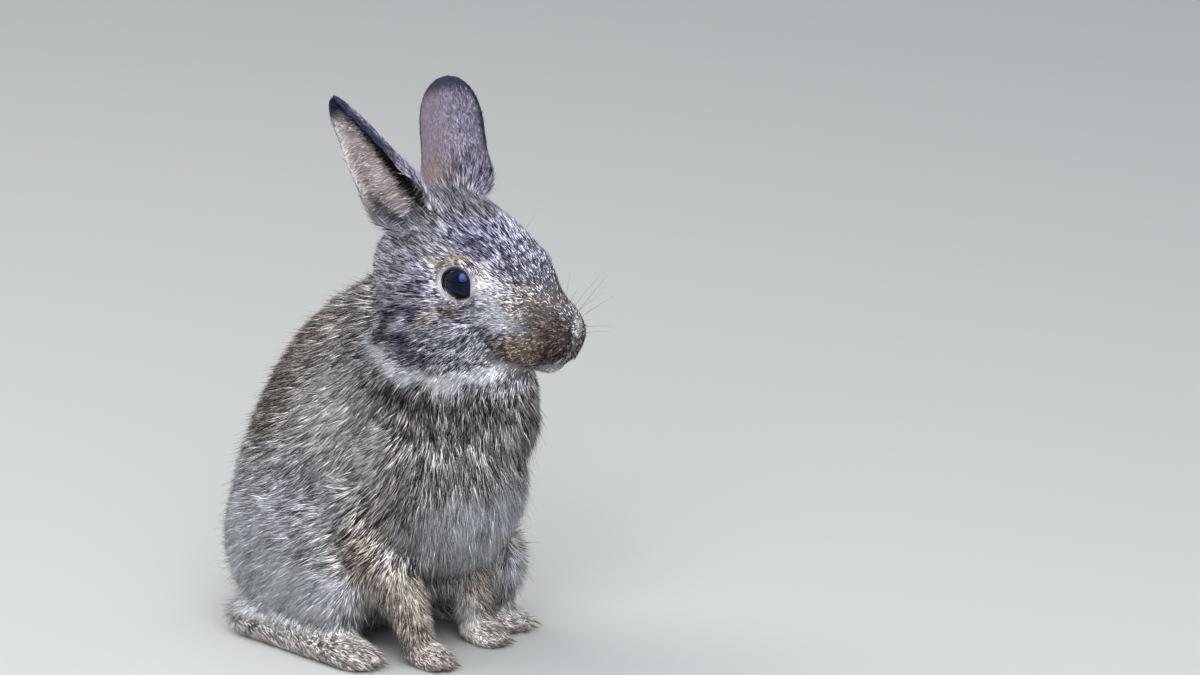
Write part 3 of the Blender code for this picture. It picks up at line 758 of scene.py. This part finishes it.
def scaled(nodes, links, colour, factor):
    """The colour times the factor."""
    node = nodes.new("ShaderNodeVectorMath")
    node.operation = "SCALE"
    links.new(colour, node.inputs[0])
    links.new(factor, node.inputs["Scale"])
    return node.outputs["Vector"]


def pattern(nodes, links, texture, **settings):
    """The value of a texture that is laid through the piece in its own space."""
    where, node = nodes.new("ShaderNodeTexCoord"), nodes.new(texture)
    for socket, value in settings.items():
        node.inputs[socket].default_value = value
    links.new(where.outputs["Object"], node.inputs["Vector"])
    return node.outputs["Fac"]


def hide_material():
    """The marks, broken up by fine noise, over a skin creased and stippled by its hair roots."""
    material, nodes, links, shader = new_material("hide", 0.8, 0.25)
    marks = layer_node(nodes, "marks").outputs["Color"]
    grain = pattern(nodes, links, "ShaderNodeTexNoise", Scale=2600.0, Detail=4.0)
    shade = nodes.new("ShaderNodeMapRange")
    shade.inputs["To Min"].default_value = 0.35
    shade.inputs["To Max"].default_value = 1.15
    links.new(grain, shade.inputs["Value"])
    colour = scaled(nodes, links, marks, shade.outputs["Result"])
    links.new(colour, shader.inputs["Base Color"])
    bump = nodes.new("ShaderNodeBump")
    bump.inputs["Strength"].default_value = 0.6
    bump.inputs["Distance"].default_value = 0.0002
    links.new(grain, bump.inputs["Height"])
    links.new(bump.outputs["Normal"], shader.inputs["Normal"])
    return material


skin_mesh = made_mesh("skin", points, triangles)
# Painted shade: under the coat the skin is painted at 0.28 of its marks, partly for the dark underfur
# and partly as shade in the gaps between the hairs; the bare ears keep 0.9 of theirs and the skin by the
# eyes about 0.65.
bared = np.maximum(kind == "ear", 0.6 - 0.6 * ramp(past_lid(in_head(points))[0], 1.2, 2.2))
paint_layer(skin_mesh, "marks", skin_colour * (0.28 + 0.62 * bared)[:, None])
skin = add_piece("skin", skin_mesh, hide_material(), [*FLESH, "ear_left", "ear_right"])
skin_mesh.uv_layers.new(name="OFBake")
bpy.context.view_layer.objects.active = skin
skin.select_set(True)
bpy.ops.object.mode_set(mode="EDIT")
bpy.ops.mesh.select_all(action="SELECT")
bpy.ops.uv.smart_project(angle_limit=math.radians(66), island_margin=0.002)
bpy.ops.object.mode_set(mode="OBJECT")
unwrap = np.empty(triangles.size * 2, np.float32)
skin_mesh.uv_layers["OFBake"].uv.foreach_get("vector", unwrap)
unwrap = unwrap.reshape(-1, 3, 2)

# --- Coat -----------------------------------------------------------------------------------------
# Dense soft underfur with a few longer guard hairs, each darker at its root and its tip and pale,
# middling or dark between them. The dark root is partly the hair's own dark base and partly
# painted shade deep in the coat. Each is a slim closed spike that leans over and lies along the body.

rng = np.random.default_rng(20240611)
HAIR = np.array([(0, 1, 3), (1, 2, 3), (2, 0, 3), (0, 2, 1)])
HAIR_PATCH = np.array(
    [[(0, 0), (1, 0), (0.5, 2)], [(1, 0), (2, 0), (1.5, 2)], [(2, 0), (3, 0), (2.5, 2)],
     [(0, 0), (1.5, 0), (3, 0)]]
) / np.array((3.0, 2.0))
PATCH_SIZE = 0.003

a, b, c = points[triangles].transpose(1, 0, 2)
face_area = 0.5 * np.linalg.norm(np.cross(b - a, c - a), axis=1) / MM**2
face_kind = kind[triangles[:, 0]]
face_middle = points[triangles].mean(1)
at_head = in_head(face_middle)
near_slit = to_line(one_sided(at_head), NOSTRIL) < 0.45
bare = (face_kind == "head") & ((past_lid(at_head)[0] < 0.75) | near_slit)


def scattered(chosen, count):
    """Roots spread over the chosen faces, one in each equal share of their area; what the skin
    carries there is taken from the face's three corners."""
    faces = np.flatnonzero(chosen & ~bare)
    summed = np.cumsum(face_area[faces])
    pick = faces[np.searchsorted(summed, (np.arange(count) + rng.random(count)) / count * summed[-1])]
    a, b = np.sqrt(rng.random(count)), rng.random(count)
    weight = np.stack([1 - a, a * (1 - b), a * b], 1)
    corners = triangles[pick]

    def carried(field):
        return np.einsum("ij,ij...->i...", weight, field[corners])

    root = carried(points)
    normal = unit(carried(normals))
    way = carried(lie)
    way = unit(way - np.einsum("ij,ij->i", way, normal)[:, None] * normal)
    at = {"root": root, "normal": normal, "lie": way, "grizzled": 1.0}
    at["depth"], at["length"] = carried(depth), carried(length)
    at["uv"] = np.einsum("ij,ijk->ik", weight, unwrap[pick])
    if face_kind[pick[0]] == "ear":
        inside = ear_inside[corners].mean(1) > 0.5
        at["colour"], at["grizzled"] = ear_markings(carried(ear_along), carried(ear_across), inside)
    else:
        at["colour"] = markings(root, carried(ground), carried(head_share))
    return at


def turned(way, normal, angle):
    """The way, turned about the normal."""
    return way * np.cos(angle)[:, None] + np.cross(normal, way) * np.sin(angle)[:, None]


def nearest_seed(root, spacing):
    """For each root, the nearest of a chance few of the roots, which is the middle of its lock."""
    seeds = np.flatnonzero(rng.random(len(root)) < 1 / spacing)
    finder = KDTree(len(seeds))
    for index, seed in enumerate(seeds.tolist()):
        finder.insert(root[seed], index)
    finder.balance()
    return seeds[[finder.find(place)[1] for place in root.tolist()]]


def number_layer(mesh, name, values):
    """A number on each point."""
    layer = mesh.attributes.new(name, "FLOAT", "POINT")
    layer.data.foreach_set("value", np.ascontiguousarray(values, np.float32))


def coat_piece(name, at, slot, material, width, lift, spacing=3, pull=0.4, stray=0.19, guards=0.7):
    """Each hair is a closed spike of three sides: tip = root + rise * normal + length * lie. The
    hairs of a lock mostly share a tone, and their tips draw together."""
    count = len(at["root"])
    angle = 0.22 * wander(at["root"] / MM, 11.0) + stray * rng.normal(size=count)
    way = turned(at["lie"], at["normal"], angle)
    side = np.cross(way, at["normal"])
    guard = 1 + guards * (rng.random(count) < 0.05)[:, None]
    run = at["length"][:, None] * (0.7 + 0.6 * rng.random(count))[:, None] * MM * (0.7 + 0.3 * guard)
    rise = at["depth"][:, None] * lift * (0.45 + 0.9 * rng.random(count))[:, None] * MM * guard
    root = at["root"] - 0.25 * MM * at["normal"]
    tip = root + rise * at["normal"] + run * way
    lock = nearest_seed(at["root"], spacing)
    tip = tip + (pull * rng.random(count))[:, None] * (tip[lock] - tip)
    chance = rng.random(count)
    chance = np.where(rng.random(count) < 0.8, chance[lock], chance)
    bright = at["colour"].mean(1)
    dark = 0.08 + 0.62 * ramp(bright, 0.3, 1.0)
    pale = np.minimum(3.4 - 2.0 * ramp(bright, 0.1, 0.75), PALEST / bright)
    middling = 0.85 + 0.15 * ramp(bright, 0.3, 0.85)
    tone = np.where(chance < 0.42, dark, np.where(chance > 0.7, pale, middling))
    tone = 1 + at["grizzled"] * (tone * (0.8 + 0.4 * rng.random(count)) - 1)
    half = (0.5 * width * (0.7 + 0.6 * rng.random(count)) * MM)[:, None]
    rows = [root - half * side, root + 0.7 * half * at["normal"], root + half * side, tip]
    hair_points = np.stack(rows, 1)
    hair_points[..., 2] = np.maximum(hair_points[..., 2], 0.05 * MM)
    faces = HAIR[None] + 4 * np.arange(count)[:, None, None]
    mesh = made_mesh(name, hair_points.reshape(-1, 3), faces.reshape(-1, 3))
    paint_layer(mesh, "marks", np.clip(np.repeat(at["colour"], 4, axis=0), DARKEST, PALEST))
    number_layer(mesh, "along", np.tile((0, 0, 0, 1), count))
    number_layer(mesh, "tone", np.repeat(tone, 4))
    bake = mesh.uv_layers.new(name="OFBake")
    corner = at["uv"][:, None, None] + PATCH_SIZE * (HAIR_PATCH[None] - 0.5)
    bake.uv.foreach_set("vector", np.clip(corner, 0, 1).astype(np.float32).ravel())
    return add_piece(name, mesh, material)


def grizzle_group():
    """Bands a hair: marks * (root, at the skin, to 1 at half its length) * (1 to the hair's own
    tone), and a darker tip. The dark root is partly the hair's own dark base and partly painted
    shade deep in the coat."""
    group = bpy.data.node_groups.new("grizzle", "ShaderNodeTree")
    face = group.interface
    face.new_socket(name="Root", in_out="INPUT", socket_type="NodeSocketFloat")
    face.new_socket(name="Tip", in_out="INPUT", socket_type="NodeSocketFloat")
    face.new_socket(name="Color", in_out="OUTPUT", socket_type="NodeSocketColor")
    nodes, links = group.nodes, group.links
    given, made = nodes.new("NodeGroupInput"), nodes.new("NodeGroupOutput")
    marks, along, tone = (layer_node(nodes, name).outputs for name in ("marks", "along", "tone"))

    def along_ramp(low, high, start, end):
        """From start to end as the hair goes from low to high of its length."""
        node = nodes.new("ShaderNodeMapRange")
        node.interpolation_type = "SMOOTHSTEP"
        links.new(along["Fac"], node.inputs["Value"])
        for socket, wanted in zip(("From Min", "From Max", "To Min", "To Max"), (low, high, start, end)):
            if isinstance(wanted, float):
                node.inputs[socket].default_value = wanted
            else:
                links.new(wanted, node.inputs[socket])
        return node.outputs["Result"]

    root, tip = given.outputs["Root"], given.outputs["Tip"]
    colour = scaled(nodes, links, marks["Color"], along_ramp(0.08, 0.45, root, 1.0))
    colour = scaled(nodes, links, colour, along_ramp(0.15, 0.4, 1.0, tone["Fac"]))
    colour = scaled(nodes, links, colour, along_ramp(0.72, 0.9, 1.0, tip))
    links.new(colour, made.inputs["Color"])
    return group


GRIZZLE = grizzle_group()


def coat_material(name, root, tip):
    """Hair with a soft gloss, banded from root to tip."""
    material, nodes, links, shader = new_material(name, 0.65, 0.08)
    banding = nodes.new("ShaderNodeGroup")
    banding.node_tree = GRIZZLE
    banding.inputs["Root"].default_value = root
    banding.inputs["Tip"].default_value = tip
    links.new(banding.outputs["Color"], shader.inputs["Base Color"])
    return material


left = face_middle[:, 1] > 0
SIDES = (("_left", left), ("_right", ~left))
WHOLE = (("", left | ~left),)
# The first number darkens the root, partly as the hair's own dark base and partly as painted shade deep
# in the coat; the second darkens the tip.
body_coat = coat_material("body_coat", 0.12, 0.5)
leg_coat = coat_material("leg_coat", 0.4, 0.7)
tail_coat = coat_material("tail_coat", 0.8, 1.0)
face_coat = coat_material("face_coat", 0.2, 0.4)
ear_coat = coat_material("ear_coat", 0.6, 0.9)
leg_locks = {"spacing": 2, "pull": 0.3}
face_locks = {"pull": 0.35, "stray": 0.12, "guards": 0.5}
ear_locks = {"pull": 0.3, "stray": 0.16, "guards": 0.5}
# Piece, kind of flesh, its halves, hairs in each, slot, material, hair width, lift and locks.
for part, of_kind, halves, count, slot, material, width, lift, locks in (
    ("trunk", "trunk", SIDES, 47000, "grey_coat", body_coat, 0.26, 1.25, {}),
    ("neck", "neck", SIDES, 15000, "grey_coat", body_coat, 0.26, 1.25, {}),
    ("haunch", "hindleg", SIDES, 26000, "grey_coat", body_coat, 0.26, 1.25, {}),
    ("foreleg", "foreleg", SIDES, 10000, "buff_coat", leg_coat, 0.22, 1.2, leg_locks),
    ("forepaws", "forepaw", WHOLE, 8000, "buff_coat", leg_coat, 0.18, 1.2, leg_locks),
    ("hindfeet", "hindfoot", WHOLE, 22000, "buff_coat", leg_coat, 0.2, 1.2, leg_locks),
    ("tail", "tail", WHOLE, 10000, "white_coat", tail_coat, 0.3, 1.2, {}),
    ("head", "head", SIDES, 48000, "grey_coat", face_coat, 0.21, 1.2, face_locks),
    ("ear", "ear", SIDES, 20000, "ear_coat", ear_coat, 0.2, 1.1, ear_locks),
):
    for ending, there in halves:
        at = scattered((face_kind == of_kind) & there, count)
        coat_piece(f"coat_{part}{ending}", at, slot, material, width, lift, **locks)

# --- Eyes -----------------------------------------------------------------------------------------
# Large dark eyes, wet and clear over a brown-black iris and a wide pupil. Each is a ball with the
# cornea standing a little proud, and sits in its socket behind the lids.


def eye_ball(side):
    """A sphere of the eye's radius, with a cornea that stands proud on the axis and fades as a
    bell: radius = R + cornea exp(-(angle / 0.6)^2). Also the angle of each point from the axis."""
    angle = np.linspace(0, math.pi, 49)[1:-1, None]
    turn = np.linspace(0, 2 * math.pi, 72, endpoint=False)[None, :]
    radius = EYE_RADIUS + CORNEA * bell(angle, 0.6)
    across = radius * np.sin(angle)
    axial = radius * np.cos(angle) + 0 * turn
    local = np.stack([across * np.cos(turn), across * np.sin(turn), axial], -1)
    points, triangles = with_ends(local, (0, 0, EYE_RADIUS + CORNEA), (0, 0, -EYE_RADIUS))
    angles = np.append(np.repeat(angle[:, 0], turn.size), (0, math.pi))
    return *outward(out_of_eye(points, side), triangles), angles


def toned(nodes, links, value, *stops):
    """A colour that runs through those stops, each a position and a colour, with the value."""
    node = nodes.new("ShaderNodeValToRGB")
    elements = node.color_ramp.elements
    for index, (position, colour) in enumerate(stops):
        element = elements[index] if index < 2 else elements.new(position)
        element.position = position
        element.color = (*colour, 1)
    links.new(value, node.inputs["Fac"])
    return node.outputs["Color"]


def eye_material():
    """Brown-black iris with faint rays round a black pupil, under a clear wet coat."""
    material, nodes, links, shader = new_material("eye", 0.03, 0.5)
    shader.inputs["IOR"].default_value = 1.42
    shader.inputs["Specular Tint"].default_value = (0.04, 0.26, 0.9, 1)
    shader.inputs["Coat Weight"].default_value = 0.1
    rays = pattern(nodes, links, "ShaderNodeTexNoise", Scale=1500.0)
    edge = nodes.new("ShaderNodeMath")
    edge.operation = "MULTIPLY_ADD"
    edge.inputs[1].default_value = 0.1
    links.new(rays, edge.inputs[0])
    links.new(layer_node(nodes, "from_axis").outputs["Fac"], edge.inputs[2])
    pupil, iris = (0.36, (0.0015, 0.0013, 0.0015)), (0.46, (0.006, 0.004, 0.003))
    rim = (0.78, (0.002, 0.0015, 0.0015))
    colour = toned(nodes, links, edge.outputs["Value"], pupil, iris, rim)
    links.new(colour, shader.inputs["Base Color"])
    return material


eye_gloss = eye_material()
for name, side in EYES.items():
    eye_points, eye_triangles, angles = eye_ball(side)
    mesh = made_mesh(f"eye_{name}_ball", eye_points, eye_triangles)
    number_layer(mesh, "from_axis", angles)
    add_piece(f"eye_{name}_ball", mesh, eye_gloss, [f"eye_{name}"])

# --- Whiskers -------------------------------------------------------------------------------------
# Fine dark bristles that fan out from the pads of the muzzle, with a few over each eye. Each is a
# tapering tube that springs from the skin and droops a little.

def tube(path, radius, first, second, sides):
    """A closed tube of that many sides round a path: path + radius (cos first + sin second)."""
    spin = np.linspace(0, 2 * math.pi, sides, endpoint=False)[None, :, None]
    radial = radius * np.cos(spin) * first
    points, triangles = ring_surface(path[:, None] + radial + radius * np.sin(spin) * second)
    ends = np.array([(k, 0, k + 1) for k in range(1, sides - 1)])
    far = ends[:, ::-1] + (len(path) - 1) * sides
    return points, np.vstack([triangles, ends, far])


def whisker(root, way, reach, droop, thickness):
    """A tube along root + reach (t way + droop t^2 down), its radius falling as 1 - 0.85 t."""
    t = np.linspace(0, 1, 14)[:, None]
    path = np.asarray(root, float) + reach * (t * unit(np.asarray(way, float)))
    path = path + reach * droop * t**2 * np.array((0, 0, -1.0))
    along = unit(np.gradient(path, axis=0))
    first = unit(np.cross(along, (0.3, 0.1, 0.9)))
    second = np.cross(along, first)
    radius = 0.5 * thickness * (1 - 0.85 * t)[:, None]
    points, triangles = tube(path, radius, first[:, None], second[:, None], 5)
    return outward(from_head(points), triangles)


whiskers = []
spread = np.random.default_rng(41)
for side in EYES.values():
    for row in range(4):
        for place in range(3):
            root = (22.8 - 2.1 * place, side * (6.6 + 0.7 * place - 0.2 * row), -6.4 - 1.7 * row)
            way = (
                0.12 - 0.3 * place + 0.12 * spread.normal(),
                side * 1.0,
                0.5 - 0.27 * row + 0.12 * spread.normal(),
            )
            whiskers.append(whisker(root, way, 17 + 8 * spread.random(), 0.06, 0.11))
    for place in range(2):
        root = (0.5 - 3.5 * place, side * 13.4, 5.0)
        whiskers.append(whisker(root, (0.3 - 0.6 * place, side * 0.6, 1.0), 8.0, -0.1, 0.12))



def horny_material(name, roughness, texture, dark, pale, **settings):
    """Two tones that a fine texture runs between."""
    material, nodes, links, shader = new_material(name, roughness, 0.5)
    value = pattern(nodes, links, texture, **settings)
    links.new(toned(nodes, links, value, (0, dark), (1, pale)), shader.inputs["Base Color"])
    return material


dark, pale = (0.012, 0.01, 0.01), (0.06, 0.05, 0.045)
bristle = horny_material("bristle", 0.35, "ShaderNodeTexNoise", dark, pale, Scale=120.0)
add_piece("whiskers", made_mesh("whiskers", *joined(whiskers)), bristle)

# --- Claws ----------------------------------------------------------------------------------------
# Four slim horn claws on each foot, curved a little down. Each grows out of its toe and keeps clear
# of the floor.

CLAW_HEADING = {"forepaw": 4.0, "hindfoot": 6.0}


def claw(name):
    """A horn along base + t forward, falling as t^2, whose round section narrows as 1 - 0.8 t."""
    low, high = (np.array(corner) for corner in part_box(name))
    _, foot, side_name, _ = name.split("_")
    heading = math.radians(CLAW_HEADING[foot] * EYES[side_name])
    forward = np.array((math.cos(heading), math.sin(heading), 0.0))
    t = np.linspace(0, 1, 12)[:, None]
    base = np.array((low[0], (low[1] + high[1]) / 2, high[2] - 0.6 * MM)) - 1.2 * MM * forward
    base[1] -= 0.5 * (high[0] - low[0]) * math.sin(heading)
    path = base + t * (high[0] - low[0] + 1.2 * MM) * forward
    path = path + np.array((0, 0, -1.0)) * t**2 * (high[2] - low[2] - 0.75 * MM)
    across = np.array((-forward[1], forward[0], 0.0))
    radius = 0.5 * MM * (1 - 0.8 * t**1.4)[:, None]
    return outward(*tube(path, radius, across, np.array((0, 0, 1.0)), 10))


dark, pale = (0.05, 0.035, 0.028), (0.15, 0.11, 0.085)
horn = horny_material("horn", 0.38, "ShaderNodeTexWave", dark, pale, Scale=900.0, Distortion=3.0)
for name in sorted(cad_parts):
    if name.startswith("claw_"):
        add_piece(name.replace("claw", "horn"), made_mesh(name, *claw(name)), horn, [name])

# --- Floor, light and camera ----------------------------------------------------------------------
# A plain grey floor under an even pale sky. Two broad soft lamps and a small bright one stand in
# front, one hangs overhead and one is behind. The camera looks a little down on the right front.

floor_mesh = bpy.data.meshes.new("floor")
floor_mesh.from_pydata([(-6, -6, 0), (6, -6, 0), (6, 6, 0), (-6, 6, 0)], [], [(0, 1, 2, 3)])
floor = placed("floor", floor_mesh)
plain, nodes, links, shader = new_material("floor_paint", 0.75, 0.2)
shader.inputs["Base Color"].default_value = (0.30, 0.30, 0.29, 1)
floor_mesh.materials.append(plain)


def towards(azimuth, elevation):
    """The way from the animal to a place round it: azimuth 0 is its right, and 90 its front."""
    a, e = math.radians(azimuth), math.radians(elevation)
    return Vector((math.sin(a) * math.cos(e), -math.cos(a) * math.cos(e), math.sin(e)))


VIEW_CENTRE, CAMERA_DISTANCE = Vector((0.0213, 0.0521, 0.0717)), 2.5
LAMPS_FACE = Vector((0.01, 0.0, 0.07))
back = towards(45, 13)
camera = placed("camera", bpy.data.cameras.new("camera"))
camera.data.lens = 300
camera.data.sensor_width = 36
camera.data.clip_end = 50
camera.location = VIEW_CENTRE + CAMERA_DISTANCE * back
camera.rotation_euler = back.to_track_quat("Z", "Y").to_euler()
bpy.context.scene.camera = camera


def soft_light(name, azimuth, elevation, distance, size, power, colour):
    """A round lamp that faces the animal."""
    way = towards(azimuth, elevation)
    lamp = bpy.data.lights.new(name, "AREA")
    lamp.shape = "DISK"
    lamp.size = size
    lamp.energy = power
    lamp.color = colour
    obj = placed(name, lamp)
    obj.location = LAMPS_FACE + way * distance
    obj.rotation_euler = way.to_track_quat("Z", "Y").to_euler()


for lamp in (
    ("key", 46, 29, 1.1, 1.0, 14.0, (0.95, 0.98, 1.0)),
    ("window", 43, 37, 1.1, 0.7, 7.5, (0.95, 0.98, 1.0)),
    ("sky", 60, 68, 1.3, 1.4, 9.0, (0.92, 0.96, 1.0)),
    ("glint", 40, 37, 1.2, 0.1, 1.6, (1.0, 1.0, 1.0)),
    ("rear", 290, 50, 1.2, 0.9, 12.0, (1.0, 0.99, 0.97)),
):
    soft_light(*lamp)
world = bpy.data.worlds.new("sky")
world.use_nodes = True
world.node_tree.nodes["Background"].inputs["Color"].default_value = (0.86, 0.90, 1.0, 1)
world.node_tree.nodes["Background"].inputs["Strength"].default_value = 0.8
bpy.context.scene.world = world
bpy.context.scene.view_settings.view_transform = "Standard"
